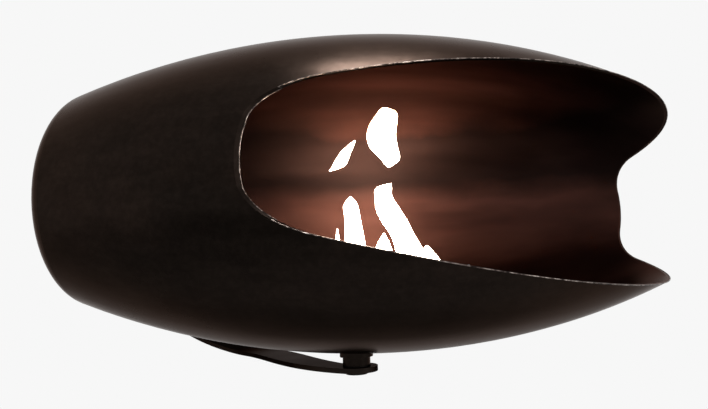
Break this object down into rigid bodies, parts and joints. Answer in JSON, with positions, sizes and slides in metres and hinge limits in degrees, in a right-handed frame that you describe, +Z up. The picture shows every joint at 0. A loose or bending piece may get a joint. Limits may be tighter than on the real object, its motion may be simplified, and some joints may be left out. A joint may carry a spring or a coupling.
{
  "type": "wall-mounted fireplace",
  "caption": "Wall-hung barrel-shaped steel fireplace with a flared open end, swivelling on a curved arm, with an alcohol burner and sliding damper inside.",
  "frame": {"origin": "centre of the wall plate's back face, on the wall", "axes": "+X along the wall towards the open end of the barrel, +Y into the wall, +Z up"},
  "size_m": [0.8113, 0.5189, 0.424],
  "materials": {
    "bracket_paint": "satin black paint",
    "shell_paint": "satin black-brown heat paint outside, polished dark steel inside",
    "fastener_steel": "plain zinc-plated steel",
    "bearing_bronze": "turned bronze",
    "black_steel": "blackened steel",
    "hearth_steel": "matt black heat paint",
    "burner_steel": "brushed stainless steel",
    "foot_ceramic": "unglazed white ceramic",
    "fibre": "soft ceramic fibre",
    "knob_steel": "turned steel"
  },
  "bodies": {
    "bracket": {"wall_plate": "bracket_paint", "tab_bolts": "fastener_steel", "support_arm": "bracket_paint", "arm_gusset": "bracket_paint", "eye_bush": "bearing_bronze", "thrust_washer": "black_steel"},
    "shell": {"shell": "shell_paint", "backing_plate": "hearth_steel", "pivot_boss": "shell_paint", "pivot_spindle": "fastener_steel", "spindle_cap": "black_steel", "lower_washer": "black_steel", "hearth_rib_left": "hearth_steel", "hearth_rib_right": "hearth_steel", "hearth_plate": "hearth_steel", "hearth_screws": "fastener_steel", "hearth_nuts": "fastener_steel", "burner_stops": "hearth_steel"},
    "burner": {"burner_feet": "foot_ceramic", "burner_tank": "burner_steel", "fibre_pad": "fibre", "burner_top": "burner_steel", "damper_rails": "burner_steel", "rail_screws": "fastener_steel", "lift_handles": "burner_steel"},
    "damper": {"damper_plate": "burner_steel", "damper_knob": "knob_steel"}
  },
  "joints": [
    {"name": "swivel", "type": "hinge", "parent": "bracket", "child": "shell", "pos_m": [0.271, -0.33, -0.113], "axis": [0, 0, 1], "range_deg": [-25, 25]},
    {"name": "burner_lift", "type": "slide", "parent": "shell", "child": "burner", "axis": [0, 0, 1], "range_m": [0, 0.05]},
    {"name": "damper_slide", "type": "slide", "parent": "burner", "child": "damper", "axis": [0, -1, 0], "range_m": [0, 0.047]}
  ]
}
